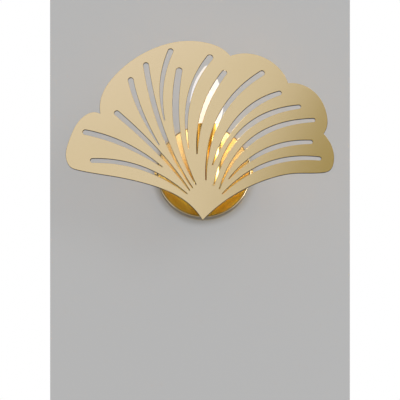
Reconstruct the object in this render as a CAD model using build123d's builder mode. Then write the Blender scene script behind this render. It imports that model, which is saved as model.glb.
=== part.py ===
"""Shell wall sconce: a fretted shell plate in front of a candle lamp on a round wall canopy.

Millimetres. The origin is on the wall at the canopy's centre. +Z is up, the light faces -Y,
and +X is to the right of someone looking at it.
"""

from build123d import *
import os
from math import hypot, sqrt

# ---------------------------------------------------------------- driving dimensions

# Clearances
fit_gap = 0.05  # a screw in its own tapped hole, a tube in its socket
slip_gap = 0.2  # a screw through a plain hole, a cover over its core
seat_gap = 0.3  # the bulb's pieces next to the fixed ones

# Shell plate
plate_thickness = 3.0
plate_back = 80.0  # wall to the plate's back face
shell_tip = (-1.5, -64.0)  # x, z of the point at the bottom
tip_round = 0.8
slot_point = 0.8  # width of a slot's pointed inner end

# Canopy on the wall
canopy_radius = 50.0
canopy_depth = 18.0
canopy_wall = 1.0
canopy_round = 1.5
canopy_inner_round = 0.6

# Wall bracket
bracket_thickness = 2.0
bracket_height = 20.0
bracket_corner = 4.0
tab_width = 12.0
tab_depth = 14.0
wall_hole_spacing = 60.0
wall_slot_length = 12.0
wall_slot_width = 5.0
cable_hole_radius = 7.0
ear_height = 20.0
ear_margin = 2.0  # ear beyond the terminal block
ear_corner = 2.0

# Lamp axis
lamp_x = 3.0
lamp_y = -50.0

# Carrier arm
arm_thickness = 2.5
arm_width = 20.0
arm_bend = 3.0  # inside radius of the folds
arm_corner = 4.0
arm_foot = 18.0  # length of the leg against the canopy
arm_toe = 22.0  # length of the leg against the shell plate
fixing_spacing = 12.0  # between the two screws of each leg
arm_fixing_rise = 11.5  # shelf top to the canopy screws
stud_drop = 13.0  # shelf top to the shell studs
stud_length = 10.0

# Machine screws, nuts and washers
m4_radius = 2.0
m4_nut_flats = 7.0
m4_nut_height = 3.2
m4_head_radius = 3.8
m4_head_height = 2.4
m4_washer_radius = 4.2
m4_washer_height = 0.8
m3_radius = 1.5
m3_head_radius = 2.8
m3_head_height = 1.8
drive_slot_width = 1.0
head_taper = 20.0  # degrees
canopy_screw_length = 8.0
arm_screw_length = 10.0

# Lead entry and leads
grommet_bore = 3.2
grommet_neck = 4.5
grommet_flange = 6.0
grommet_lip = 1.2
lead_radius = 1.1
lead_offset = 1.15  # half the distance between the two leads of the lamp
lead_bend = 6.0
live_turn_z = -8.0
live_turn_drop = 14.0
fan_start = 1.5  # stem top to where the leads spread
fan_rise = 3.0
fan_end = 1.8  # from there to the terminals
fan_bend = 1.5
copper_radius = 0.5
copper_length = 5.0
sleeving_radius = 2.9
sleeving_wall = 0.4
sleeving_tail = 2.5  # left inside the canopy
sleeving_tuck = 8.0  # pushed up into the stem

# Stem and cup under the lampholder
stem_radius = 5.0
stem_bore = 3.5
stem_end = 0.5  # stem below its lower nut
stem_grip = 7.0  # stem above its upper nut
stem_nut_flats = 14.0
stem_nut_height = 3.0
stem_washer_radius = 8.0
stem_washer_height = 0.8
cup_height = 4.0
cup_wall = 1.0

# Lamp sleeve
sleeve_radius = 15.0
sleeve_wall = 1.0
sleeve_rise = 7.7  # lampholder's top to the sleeve's rim
sleeve_lip = 0.4

# Lampholder for the small screw cap
base_wall = 1.4
base_floor = 3.0
body_floor = 6.0
holder_gap = 0.4  # lampholder inside the lamp sleeve
mouth_gap = 0.6  # bulb's skirt inside the mouth
contact_wall = 0.4
contact_shell_drop = 1.0  # mouth's floor to the contact shell
contact_width = 4.0
contact_slot = 1.2  # slot in the floor for a contact's leg
tongue_width = 2.4
tongue_flat = 3.8  # length of the tongue that lies on the floor
tongue_rise = 2.0  # floor to the top of the tongue
tongue_bend = 0.5
terminal_width = 3.4
terminal_depth = 6.0
terminal_height = 7.0
holder_screw_radius = 1.0
holder_head_height = 1.0

# Bulb with the small screw cap
cap_length = 26.0
cap_radius = 6.9
cap_root = 6.3
cap_bore = 5.5
thread_pitch = 2.82
skirt_radius = 8.4
skirt_height = 3.0
skirt_cone = 1.5
insulator_height = 3.6
insulator_radius = 3.4  # at the tip
contact_tip_radius = 2.4
contact_tip_height = 1.5
glass_wall = 0.8
mount_radius = 2.6
mount_height = 22.0
flare_height = 1.2
flare_taper = 3.6
filament_count = 4
filament_length = 34.0
filament_radius = 0.9
filament_circle = 5.0
filament_rise = 2.0  # mount top to the filaments
filament_wire_radius = 0.4

# Terminal block
pole_pitch = 10.0
pole_count = 3
block_gap = 2.0  # bracket's strip to the block
block_height = 16.0
block_depth = 11.0
block_corner = 1.0
pole_height = 5.0  # bracket to the wires' axis
insert_radius = 2.4
insert_bore = 1.4
insert_inset = 1.0
terminal_screw_radius = 1.3
terminal_screw_gap = 0.4  # round a screw in its hole in the block
terminal_screw_length = 3.0
terminal_screw_spacing = 7.0

# Earth point on the bracket
earth_z = -4.0
earth_drop = 2.0  # block to the lead's first bend
earth_bend = 2.5
ring_radius = 3.6
ring_thickness = 0.8
barrel_radius = 1.7
barrel_rise = 4.2  # screw to the barrel
barrel_length = 5.0
barrel_gap = 1.3

# ---------------------------------------------------------------- the shell's drawing, x and z

# Each lobe runs from notch to notch; the lower edges join the outer lobes to the tip.
far_left_lobe = [(-105.5, 46), (-112, 47.6), (-127, 38.3), (-136, 20), (-139.4, 0), (-134.5, -9.6)]
lower_left_edge = [(-127, -12.6), (-90, -19.2), (-53, -28), (-31, -36.6), (-11, -51)]
lower_right_edge = [(10.5, -52.5), (30.5, -37.8), (60, -23.4), (90, -16), (117, -15.4)]
far_right_lobe = [(127.2, -12.6), (131.4, -1), (129.4, 12), (121.3, 25)]
right_lobe = [(125, 33), (124.5, 47), (117, 64), (104, 74.8), (86, 78)]
upper_lobe = [(81.5, 88), (67, 102.3), (48, 109.3), (27, 107)]
top_lobe = [(18.5, 114.8), (-2, 122), (-27, 122.2), (-58, 112), (-88, 89.7), (-104.5, 64), (-105.5, 46)]

# Each slot: pointed inner end, bend, round outer end, width at the outer end, width at the bend
slots = [
    ((-17, -37), (-59.5, -1.5), (-112.5, -2.8), 4.6, 5.0),
    ((-42, -9.5), (-79.3, 18.5), (-120.3, 26.7), 5.2, 6.4),
    ((-14.5, -33.5), (-41, 5.5), (-88.5, 46.5), 5.4, 4.2),
    ((-45.5, 13.5), (-68.5, 50), (-74.7, 81.3), 5.4, 4.4),
    ((-11.5, -31), (-48.5, 22.5), (-59.3, 97.2), 5.4, 5.0),
    ((-40, 39), (-49, 76.5), (-34.2, 112), 5.4, 4.4),
    ((-8, -27.5), (-37.3, 24), (-25.4, 91.3), 6.2, 8.0),
    ((-15.5, 10), (-25.5, 66), (6, 105), 6.6, 4.6),
    ((-7, 4), (-7.4, 51.5), (20.7, 89), 5.4, 6.2),
    ((2, -23), (1.3, 52), (59.3, 88.6), 5.6, 5.6),
    ((8.5, -7.5), (30.5, 53.5), (76.8, 67.5), 4.6, 8.4),
    ((9.8, -28.5), (28.2, 45.8), (96.5, 53.2), 4.2, 8.4),
    ((15.5, -32), (38.8, 36.3), (111, 39.2), 4.0, 8.2),
    ((25, -21.8), (58.4, 17.4), (108, 16.5), 4.0, 7.2),
    ((18.5, -37), (60, 5.4), (116.5, -0.7), 3.8, 6.6),
]

# Outside of the bulb's glass: radius, and height above its neck
glass_outline = [
    (8, 0),
    (12.2, 8.4),
    (16.2, 19.4),
    (17.5, 32.4),
    (15.2, 46.4),
    (11.6, 56.6),
    (7.4, 64.2),
    (3, 70.8),
    (0, 73),
]

# ---------------------------------------------------------------- places worked out from them

canopy_face = -canopy_depth
canopy_inner = canopy_radius - canopy_wall
canopy_inside_face = canopy_face + canopy_wall
shelf_top = -canopy_radius / 2  # the lampholder stands level with the middle of the canopy's lower half
shelf_bottom = shelf_top - arm_thickness
arm_fixing_z = shelf_top + arm_fixing_rise
stud_z = shelf_top - stud_drop
fixing_xs = [lamp_x - fixing_spacing / 2, lamp_x + fixing_spacing / 2]

cup_radius = sleeve_radius + fit_gap + cup_wall
upper_nut_bottom = shelf_top + cup_wall
upper_nut_top = upper_nut_bottom + stem_nut_height
lower_nut_top = shelf_bottom - stem_washer_height
lower_nut_bottom = lower_nut_top - stem_nut_height
stem_bottom = lower_nut_bottom - stem_end
stem_top = upper_nut_top + stem_grip
grommet_z = stem_bottom - lead_bend

sleeve_bottom = shelf_top + cup_wall
sleeve_bore = sleeve_radius - sleeve_wall
holder_radius = sleeve_bore - holder_gap
base_bottom = upper_nut_top + seat_gap
base_bore = holder_radius - base_wall
fan_z = stem_top + fan_start
leg_bottom = fan_z + fan_rise + fan_end
base_top = leg_bottom + terminal_height
floor_top = base_top + body_floor
tongue_top = floor_top + tongue_rise
body_top = tongue_top + cap_length
mouth_floor = body_top - skirt_height - skirt_cone - seat_gap

contact_bore = cap_radius + seat_gap
contact_outer = contact_bore + contact_wall
contact_shell_bottom = tongue_top
contact_shell_top = mouth_floor - contact_shell_drop
leg_middle = contact_outer - contact_wall / 2
terminal_x = contact_outer + terminal_width / 2
terminal_screw_z = leg_bottom + terminal_height / 2

glass_bottom = body_top + seat_gap
cap_bottom = glass_bottom - cap_length
cap_metal_bottom = cap_bottom + contact_tip_height + insulator_height
thread_bottom = cap_metal_bottom + cap_radius - cap_root
skirt_bottom = glass_bottom - skirt_height
cone_bottom = skirt_bottom - skirt_cone
thread_turns = int((cone_bottom - thread_bottom) / thread_pitch)
flare_radius = glass_outline[0][0] - glass_wall - slip_gap
filament_bottom = glass_bottom + mount_height + filament_rise
filament_top = filament_bottom + filament_length

block_x = lamp_x + lead_offset
block_bottom = bracket_height / 2 + block_gap
block_middle = block_bottom + block_height / 2
block_front = -bracket_thickness - block_depth
pole_y = -bracket_thickness - pole_height
pole_xs = [block_x + pole_pitch * (i - (pole_count - 1) / 2) for i in range(pole_count)]
live_x, neutral_x, earth_x = pole_xs
block_fixing_x = (live_x + neutral_x) / 2
ear_width = pole_pitch * pole_count + ear_margin * 2
insert_bottom = block_bottom + insert_inset
terminal_screw_spots = [
    (x, block_middle + side * terminal_screw_spacing / 2) for x in pole_xs for side in (-1, 1)
]
ring_back = -bracket_thickness - m4_washer_height
barrel_y = -bracket_thickness - slip_gap - barrel_radius
tab_outer = sqrt(canopy_inner**2 - (tab_width / 2) ** 2) - seat_gap
tab_screw_y = -canopy_depth / 2

lamp_axis = Axis((lamp_x, lamp_y, 0), (0, 0, 1))
# Sketches on these two planes have x across and z up; a positive offset moves them off the wall.
side_of_lamp = Plane(origin=(lamp_x, lamp_y, 0), x_dir=(1, 0, 0), z_dir=(0, -1, 0))
facing_room = Plane(origin=(0, 0, 0), x_dir=(1, 0, 0), z_dir=(0, -1, 0))


def level(z):
    """A horizontal plane across the lamp axis."""
    return Plane(origin=(lamp_x, lamp_y, z), x_dir=(1, 0, 0), z_dir=(0, 0, 1))


def keep(part, name):
    """Label a finished piece and write it."""
    part.label = name
    export_step(part, f"parts/{name}.step")


os.makedirs("parts", exist_ok=True)

# ---------------------------------------------------------------- shell plate and its studs


def unit(a, b):
    """Direction from a to b."""
    length = hypot(b[0] - a[0], b[1] - a[1])
    return (b[0] - a[0]) / length, (b[1] - a[1]) / length


def slot_sides(inner, bend, outer, end_width, bend_width):
    """Both sides of a slot, each as the three control points of its curve, and the top of its round end."""
    first = unit(inner, bend)
    last = unit(bend, outer)
    middle = unit((0, 0), (first[0] + last[0], first[1] + last[1]))
    sides = []
    for turn in (1, -1):
        sides.append(
            [
                (inner[0] - turn * first[1] * slot_point / 2, inner[1] + turn * first[0] * slot_point / 2),
                (bend[0] - turn * middle[1] * bend_width / 2, bend[1] + turn * middle[0] * bend_width / 2),
                (outer[0] - turn * last[1] * end_width / 2, outer[1] + turn * last[0] * end_width / 2),
            ]
        )
    round_top = (outer[0] + last[0] * end_width / 2, outer[1] + last[1] * end_width / 2)
    return sides[0], sides[1], round_top


with BuildPart() as shell_plate:
    with BuildSketch(facing_room.offset(plate_back)):
        with BuildLine():
            Spline(*far_left_lobe, *lower_left_edge, shell_tip)
            Spline(shell_tip, *lower_right_edge, *far_right_lobe)
            Spline(far_right_lobe[-1], *right_lobe)
            Spline(right_lobe[-1], *upper_lobe)
            Spline(upper_lobe[-1], *top_lobe)
        make_face()
        fillet(vertices().sort_by_distance((*shell_tip, 0))[0], tip_round)
        for inner, bend, outer, end_width, bend_width in slots:
            left, right, round_top = slot_sides(inner, bend, outer, end_width, bend_width)
            with BuildLine():
                Bezier(*left)
                ThreePointArc(left[2], round_top, right[2])
                Bezier(*right)
                Line(left[0], right[0])
            make_face(mode=Mode.SUBTRACT)
    extrude(amount=plate_thickness)
keep(shell_plate.part, "shell_plate")

with BuildPart() as shell_studs:
    with BuildSketch(facing_room.offset(plate_back)):
        with Locations(*[(x, stud_z) for x in fixing_xs]):
            Circle(m4_radius)
    extrude(amount=-stud_length)
keep(shell_studs.part, "shell_studs")

# ---------------------------------------------------------------- carrier arm and its fixings

with BuildPart() as carrier_arm:
    with BuildSketch(Plane.YZ.offset(lamp_x - arm_width / 2)):
        with BuildLine():
            Polyline(
                (canopy_face, shelf_bottom),
                (canopy_face, shelf_top + arm_foot),
                (canopy_face - arm_thickness, shelf_top + arm_foot),
                (canopy_face - arm_thickness, shelf_top),
                (-plate_back, shelf_top),
                (-plate_back, shelf_top - arm_toe),
                (arm_thickness - plate_back, shelf_top - arm_toe),
                (arm_thickness - plate_back, shelf_bottom),
                close=True,
            )
        make_face()
        folds = [
            (canopy_face - arm_thickness, shelf_top, arm_bend),
            (arm_thickness - plate_back, shelf_bottom, arm_bend),
            (canopy_face, shelf_bottom, arm_bend + arm_thickness),
            (-plate_back, shelf_top, arm_bend + arm_thickness),
        ]
        for y, z, radius in folds:
            fillet(vertices().sort_by_distance((y, z, 0))[0], radius)
    extrude(amount=arm_width)
    with Locations(level(shelf_top)):
        Hole(stem_radius + slip_gap, depth=arm_thickness)
    for z, face in [(arm_fixing_z, -canopy_face), (stud_z, plate_back - arm_thickness)]:
        with BuildSketch(facing_room.offset(face)):
            with Locations(*[(x, z) for x in fixing_xs]):
                Circle(m4_radius + slip_gap)
        extrude(amount=arm_thickness, mode=Mode.SUBTRACT)
    leg_corners = carrier_arm.edges().filter_by(Axis.Y).group_by(Axis.Z)
    fillet(leg_corners[0] + leg_corners[-1], arm_corner)
keep(carrier_arm.part, "carrier_arm")


def add_screw(seat, radius, length, head_radius, head_height):
    """Add a slotted screw whose head stands on the plane seat and whose shank runs back from it."""
    with BuildSketch(seat) as shank:
        Circle(radius)
    extrude(shank.sketch, amount=-length)
    with BuildSketch(seat) as head:
        Circle(head_radius)
    extrude(head.sketch, amount=head_height, taper=head_taper)
    with BuildSketch(seat.offset(head_height)) as drive_slot:
        Rectangle(head_radius * 2, drive_slot_width)
    extrude(drive_slot.sketch, amount=-head_height / 2, mode=Mode.SUBTRACT)


def add_nut(seat, radius, flats, height):
    """Add a hexagon nut standing on the plane seat."""
    with BuildSketch(seat) as hexagon:
        RegularPolygon(flats / 2, 6, major_radius=False)
        Circle(radius + fit_gap, mode=Mode.SUBTRACT)
    extrude(hexagon.sketch, amount=height)


def add_washer(seat, radius, outer_radius, height):
    """Add a plain washer lying on the plane seat."""
    with BuildSketch(seat) as ring:
        Circle(outer_radius)
        Circle(radius + slip_gap, mode=Mode.SUBTRACT)
    extrude(ring.sketch, amount=height)


def facing(direction, x, y, z):
    """A plane through a point, facing the room (-1) or the wall (+1)."""
    return Plane(origin=(x, y, z), x_dir=(1, 0, 0), z_dir=(0, direction, 0))


with BuildPart() as shell_washers:
    for x in fixing_xs:
        seat = facing(1, x, arm_thickness - plate_back, stud_z)
        add_washer(seat, m4_radius, m4_washer_radius, m4_washer_height)
keep(shell_washers.part, "shell_washers")

with BuildPart() as shell_nuts:
    nut_seat_y = arm_thickness + m4_washer_height - plate_back
    for x in fixing_xs:
        add_nut(facing(1, x, nut_seat_y, stud_z), m4_radius, m4_nut_flats, m4_nut_height)
keep(shell_nuts.part, "shell_nuts")

with BuildPart() as arm_screws:
    for x in fixing_xs:
        seat = facing(-1, x, canopy_face - arm_thickness, arm_fixing_z)
        add_screw(seat, m4_radius, arm_screw_length, m4_head_radius, m4_head_height)
keep(arm_screws.part, "arm_screws")

with BuildPart() as arm_washers:
    for x in fixing_xs:
        seat = facing(1, x, canopy_inside_face, arm_fixing_z)
        add_washer(seat, m4_radius, m4_washer_radius, m4_washer_height)
keep(arm_washers.part, "arm_washers")

with BuildPart() as arm_nuts:
    for x in fixing_xs:
        seat = facing(1, x, canopy_inside_face + m4_washer_height, arm_fixing_z)
        add_nut(seat, m4_radius, m4_nut_flats, m4_nut_height)
keep(arm_nuts.part, "arm_nuts")

# ---------------------------------------------------------------- canopy, bracket and their screws

with BuildPart() as canopy:
    with BuildSketch(Plane.XY):
        with BuildLine():
            Polyline(
                (0, canopy_face),
                (canopy_radius, canopy_face),
                (canopy_radius, 0),
                (canopy_inner, 0),
                (canopy_inner, canopy_inside_face),
                (0, canopy_inside_face),
                close=True,
            )
        make_face()
        fillet(vertices().sort_by_distance((canopy_radius, canopy_face, 0))[0], canopy_round)
        fillet(vertices().sort_by_distance((canopy_inner, canopy_inside_face, 0))[0], canopy_inner_round)
    revolve(axis=Axis.Y)
    with BuildSketch(facing_room.offset(canopy_depth)):
        with Locations((lamp_x, grommet_z)):
            Circle(grommet_neck + fit_gap)
        with Locations(*[(x, arm_fixing_z) for x in fixing_xs]):
            Circle(m4_radius + slip_gap)
    extrude(amount=-canopy_wall, mode=Mode.SUBTRACT)
    with BuildSketch(Plane.YZ):
        with Locations((tab_screw_y, 0)):
            Circle(m4_radius + slip_gap)
    extrude(amount=canopy_radius, both=True, mode=Mode.SUBTRACT)
keep(canopy.part, "canopy")

with BuildPart() as wall_bracket:
    with BuildSketch(facing_room):
        RectangleRounded(tab_outer * 2, bracket_height, bracket_corner)
        with Locations((block_x, bracket_height / 2)):
            RectangleRounded(ear_width, ear_height * 2, ear_corner)
        with Locations((-wall_hole_spacing / 2, 0), (wall_hole_spacing / 2, 0)):
            SlotOverall(wall_slot_length, wall_slot_width, mode=Mode.SUBTRACT)
        Circle(cable_hole_radius, mode=Mode.SUBTRACT)
        with Locations((earth_x, earth_z)):
            Circle(m4_radius + fit_gap, mode=Mode.SUBTRACT)
        with Locations((block_fixing_x, block_middle)):
            Circle(m3_radius + fit_gap, mode=Mode.SUBTRACT)
    extrude(amount=bracket_thickness)
    with BuildSketch(Plane.YZ.offset(tab_outer)):
        with Locations((-tab_depth / 2, 0)):
            Rectangle(tab_depth, tab_width)
    tab = extrude(amount=-bracket_thickness)
    mirror(tab, about=Plane.YZ)
    with BuildSketch(Plane.YZ):
        with Locations((tab_screw_y, 0)):
            Circle(m4_radius + fit_gap)
    extrude(amount=canopy_radius, both=True, mode=Mode.SUBTRACT)
keep(wall_bracket.part, "wall_bracket")

with BuildPart() as canopy_screws:
    for side in (-1, 1):
        seat = Plane(origin=(side * canopy_radius, tab_screw_y, 0), x_dir=(0, 0, 1), z_dir=(side, 0, 0))
        add_screw(seat, m4_radius, canopy_screw_length, m4_head_radius, m4_head_height)
keep(canopy_screws.part, "canopy_screws")

with BuildPart() as cable_grommet:
    with BuildSketch(Plane.XY.offset(grommet_z)):
        with BuildLine():
            Polyline(
                (lamp_x + grommet_bore, canopy_inside_face + grommet_lip),
                (lamp_x + grommet_flange, canopy_inside_face + grommet_lip),
                (lamp_x + grommet_flange, canopy_inside_face),
                (lamp_x + grommet_neck, canopy_inside_face),
                (lamp_x + grommet_neck, canopy_face),
                (lamp_x + grommet_flange, canopy_face),
                (lamp_x + grommet_flange, canopy_face - grommet_lip),
                (lamp_x + grommet_bore, canopy_face - grommet_lip),
                close=True,
            )
        make_face()
        outer_lip = vertices().sort_by_distance((lamp_x + grommet_flange, canopy_face - grommet_lip, 0))
        fillet(outer_lip[0], grommet_lip / 2)
    revolve(axis=Axis((lamp_x, 0, grommet_z), (0, 1, 0)))
keep(cable_grommet.part, "cable_grommet")

# ---------------------------------------------------------------- terminal block and earth point

with BuildPart() as terminal_block:
    with BuildSketch(facing_room.offset(bracket_thickness)):
        with Locations((block_x, block_middle)):
            RectangleRounded(pole_pitch * pole_count, block_height, block_corner)
        with Locations((block_fixing_x, block_middle)):
            Circle(m3_radius + slip_gap, mode=Mode.SUBTRACT)
    extrude(amount=block_depth)
    with BuildSketch(Plane.XY.offset(block_bottom)):
        with Locations(*[(x, pole_y) for x in pole_xs]):
            Circle(insert_radius + fit_gap)
    extrude(amount=block_height, mode=Mode.SUBTRACT)
    with BuildSketch(facing_room.offset(-block_front)):
        with Locations(*terminal_screw_spots):
            Circle(terminal_screw_radius + terminal_screw_gap)
    extrude(amount=block_front - pole_y, mode=Mode.SUBTRACT)
keep(terminal_block.part, "terminal_block")

with BuildPart() as terminal_inserts:
    with BuildSketch(Plane.XY.offset(insert_bottom)):
        with Locations(*[(x, pole_y) for x in pole_xs]):
            Circle(insert_radius)
            Circle(insert_bore, mode=Mode.SUBTRACT)
    extrude(amount=block_height - insert_inset * 2)
    with BuildSketch(facing_room.offset(-pole_y)):
        with Locations(*terminal_screw_spots):
            Circle(terminal_screw_radius + fit_gap)
    extrude(amount=insert_radius * 2, mode=Mode.SUBTRACT)
keep(terminal_inserts.part, "terminal_inserts")

with BuildPart() as terminal_screws:
    for x, z in terminal_screw_spots:
        with BuildSketch(facing(-1, x, pole_y - copper_radius - fit_gap, z)):
            Circle(terminal_screw_radius)
        extrude(amount=terminal_screw_length)
        with BuildSketch(facing(-1, x, pole_y - copper_radius - fit_gap - terminal_screw_length, z)):
            Rectangle(terminal_screw_radius * 2, drive_slot_width / 2)
        extrude(amount=-terminal_screw_length / 4, mode=Mode.SUBTRACT)
keep(terminal_screws.part, "terminal_screws")

with BuildPart() as terminal_fixing:
    seat = facing(-1, block_fixing_x, block_front, block_middle)
    length = block_depth + bracket_thickness - slip_gap
    add_screw(seat, m3_radius, length, m3_head_radius, m3_head_height)
keep(terminal_fixing.part, "terminal_fixing")

with BuildPart() as earth_washer:
    seat = facing(-1, earth_x, -bracket_thickness, earth_z)
    add_washer(seat, m4_radius, m4_washer_radius, m4_washer_height)
keep(earth_washer.part, "earth_washer")

with BuildPart() as earth_ring:
    with BuildSketch(facing(-1, earth_x, ring_back, earth_z)):
        Circle(ring_radius)
        with Locations((0, (barrel_rise + ring_thickness) / 2)):
            Rectangle(barrel_radius * 2, barrel_rise + ring_thickness)
        Circle(m4_radius + slip_gap, mode=Mode.SUBTRACT)
    extrude(amount=ring_thickness)
    with BuildSketch(Plane.XY.offset(earth_z + barrel_rise)):
        with Locations((earth_x, barrel_y)):
            Circle(barrel_radius)
    extrude(amount=barrel_length)
    with BuildSketch(Plane.XY.offset(earth_z + barrel_rise)):
        with Locations((earth_x, barrel_y)):
            Circle(lead_radius + fit_gap)
    extrude(amount=barrel_length, mode=Mode.SUBTRACT)
keep(earth_ring.part, "earth_ring")

with BuildPart() as earth_screw:
    seat = facing(-1, earth_x, ring_back - ring_thickness, earth_z)
    length = bracket_thickness + m4_washer_height + ring_thickness - slip_gap
    add_screw(seat, m4_radius, length, m4_head_radius, m4_head_height)
keep(earth_screw.part, "earth_screw")

# ---------------------------------------------------------------- stem, cup and lamp sleeve

with BuildPart() as sleeve_cup:
    with BuildSketch(side_of_lamp):
        with BuildLine():
            Polyline(
                (stem_radius + slip_gap, shelf_top),
                (cup_radius, shelf_top),
                (cup_radius, shelf_top + cup_height),
                (cup_radius - cup_wall, shelf_top + cup_height),
                (cup_radius - cup_wall, shelf_top + cup_wall),
                (stem_radius + slip_gap, shelf_top + cup_wall),
                close=True,
            )
        make_face()
        fillet(vertices().sort_by_distance((cup_radius, shelf_top, 0))[0], cup_wall)
    revolve(axis=lamp_axis)
keep(sleeve_cup.part, "sleeve_cup")

with BuildPart() as stem_tube:
    with BuildSketch(level(stem_bottom)):
        Circle(stem_radius)
        Circle(stem_bore, mode=Mode.SUBTRACT)
    extrude(amount=stem_top - stem_bottom)
keep(stem_tube.part, "stem_tube")

with BuildPart() as stem_nuts:
    for z in (lower_nut_bottom, upper_nut_bottom):
        add_nut(level(z), stem_radius, stem_nut_flats, stem_nut_height)
keep(stem_nuts.part, "stem_nuts")

with BuildPart() as stem_washer:
    add_washer(level(lower_nut_top), stem_radius, stem_washer_radius, stem_washer_height)
keep(stem_washer.part, "stem_washer")

with BuildPart() as lamp_sleeve:
    with BuildSketch(level(sleeve_bottom)):
        Circle(sleeve_radius)
        Circle(sleeve_bore, mode=Mode.SUBTRACT)
    extrude(amount=body_top + sleeve_rise - sleeve_bottom)
    fillet(lamp_sleeve.edges().group_by(Axis.Z)[-1], sleeve_lip)
keep(lamp_sleeve.part, "lamp_sleeve")

# ---------------------------------------------------------------- lampholder

with BuildPart() as holder_base:
    with BuildSketch(level(base_bottom)):
        Circle(holder_radius)
    extrude(amount=base_top - base_bottom)
    with BuildSketch(level(base_bottom + base_floor)):
        Circle(base_bore)
    extrude(amount=base_top - base_bottom - base_floor, mode=Mode.SUBTRACT)
    with BuildSketch(level(base_bottom)):
        Circle(stem_radius + fit_gap)
    extrude(amount=base_floor, mode=Mode.SUBTRACT)
keep(holder_base.part, "holder_base")

with BuildPart() as holder_body:
    with BuildSketch(level(base_top)):
        Circle(holder_radius)
    extrude(amount=body_top - base_top)
    with BuildSketch(level(floor_top)):
        Circle(contact_outer + slip_gap)
    extrude(amount=body_top - floor_top, mode=Mode.SUBTRACT)
    with BuildSketch(level(mouth_floor)):
        Circle(skirt_radius + mouth_gap)
    extrude(amount=body_top - mouth_floor, mode=Mode.SUBTRACT)
    with BuildSketch(level(base_top)):
        with Locations((-leg_middle, 0), (leg_middle, 0)):
            Rectangle(contact_slot, contact_width + slip_gap * 2)
    extrude(amount=body_floor, mode=Mode.SUBTRACT)
keep(holder_body.part, "holder_body")

with BuildPart() as contact_shell:
    with BuildSketch(level(contact_shell_bottom)):
        Circle(contact_outer)
        Circle(contact_bore, mode=Mode.SUBTRACT)
    extrude(amount=contact_shell_top - contact_shell_bottom)
    with BuildSketch(level(leg_bottom)):
        Circle(contact_outer)
        Circle(contact_bore, mode=Mode.SUBTRACT)
        with Locations((contact_outer, 0)):
            Rectangle(contact_outer, contact_width, mode=Mode.INTERSECT)
    extrude(amount=contact_shell_bottom - leg_bottom)
keep(contact_shell.part, "contact_shell")

with BuildPart() as centre_contact:
    with BuildLine(side_of_lamp.offset(tongue_width / 2)):
        FilletPolyline(
            (-contact_outer, leg_bottom),
            (-contact_outer, floor_top + contact_wall),
            (tongue_flat - contact_outer, floor_top + contact_wall),
            (0, tongue_top),
            (contact_tip_radius, tongue_top),
            radius=tongue_bend,
        )
    make_brake_formed(contact_wall, tongue_width, side=Side.RIGHT)
keep(centre_contact.part, "centre_contact")

with BuildPart() as holder_terminals:
    with BuildSketch(level(leg_bottom)):
        for x in (-terminal_x, terminal_x):
            with Locations((x, 0)):
                Rectangle(terminal_width, terminal_depth)
                Circle(copper_radius + slip_gap, mode=Mode.SUBTRACT)
    extrude(amount=terminal_height)
    with BuildSketch(facing_room.offset(-lamp_y + terminal_depth / 2)):
        with Locations(*[(lamp_x + x, terminal_screw_z) for x in (-terminal_x, terminal_x)]):
            Circle(holder_screw_radius + fit_gap)
    extrude(amount=-terminal_depth / 2, mode=Mode.SUBTRACT)
keep(holder_terminals.part, "holder_terminals")

with BuildPart() as holder_screws:
    for x in (-terminal_x, terminal_x):
        seat = facing(-1, lamp_x + x, lamp_y - terminal_depth / 2, terminal_screw_z)
        length = terminal_depth / 2 - copper_radius - fit_gap
        add_screw(seat, holder_screw_radius, length, terminal_width / 2 - slip_gap, holder_head_height)
keep(holder_screws.part, "holder_screws")

# ---------------------------------------------------------------- bulb

with BuildPart() as bulb_glass:
    with BuildSketch(side_of_lamp):
        outer = [(r, glass_bottom + rise) for r, rise in glass_outline]
        inner_tip = (0, outer[-1][1] - glass_wall)
        inner = [(r - glass_wall, z) for r, z in outer[:-1]] + [inner_tip]
        with BuildLine():
            Spline(*outer)
            Line(outer[-1], inner_tip)
            Spline(*inner)
            Line(inner[0], outer[0])
        make_face()
    revolve(axis=lamp_axis)
keep(bulb_glass.part, "bulb_glass")

with BuildPart() as bulb_cap:
    with BuildSketch(side_of_lamp):
        with BuildLine():
            for i in range(thread_turns):
                start = thread_bottom + i * thread_pitch
                end = start + thread_pitch
                ThreePointArc((cap_root, start), (cap_radius, (start + end) / 2), (cap_root, end))
            Polyline(
                (cap_root, thread_bottom + thread_turns * thread_pitch),
                (cap_root, cone_bottom),
                (skirt_radius, skirt_bottom),
                (skirt_radius, glass_bottom),
                (cap_bore, glass_bottom),
                (cap_bore, cap_metal_bottom),
                (cap_root, cap_metal_bottom),
                (cap_root, thread_bottom),
            )
        make_face()
    revolve(axis=lamp_axis)
keep(bulb_cap.part, "bulb_cap")

with BuildPart() as cap_insulator:
    with BuildSketch(side_of_lamp):
        with BuildLine():
            Polyline(
                (0, cap_bottom + contact_tip_height),
                (insulator_radius, cap_bottom + contact_tip_height),
                (cap_root, cap_metal_bottom),
                (0, cap_metal_bottom),
                close=True,
            )
        make_face()
    revolve(axis=lamp_axis)
keep(cap_insulator.part, "cap_insulator")

with BuildPart() as cap_contact:
    with BuildSketch(side_of_lamp):
        with BuildLine():
            Line((0, cap_bottom), (0, cap_bottom + contact_tip_height))
            Line((0, cap_bottom + contact_tip_height), (contact_tip_radius, cap_bottom + contact_tip_height))
            Spline(
                (contact_tip_radius, cap_bottom + contact_tip_height),
                (0, cap_bottom),
                tangents=[(0, -1), (-1, 0)],
            )
        make_face()
    revolve(axis=lamp_axis)
keep(cap_contact.part, "cap_contact")

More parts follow.
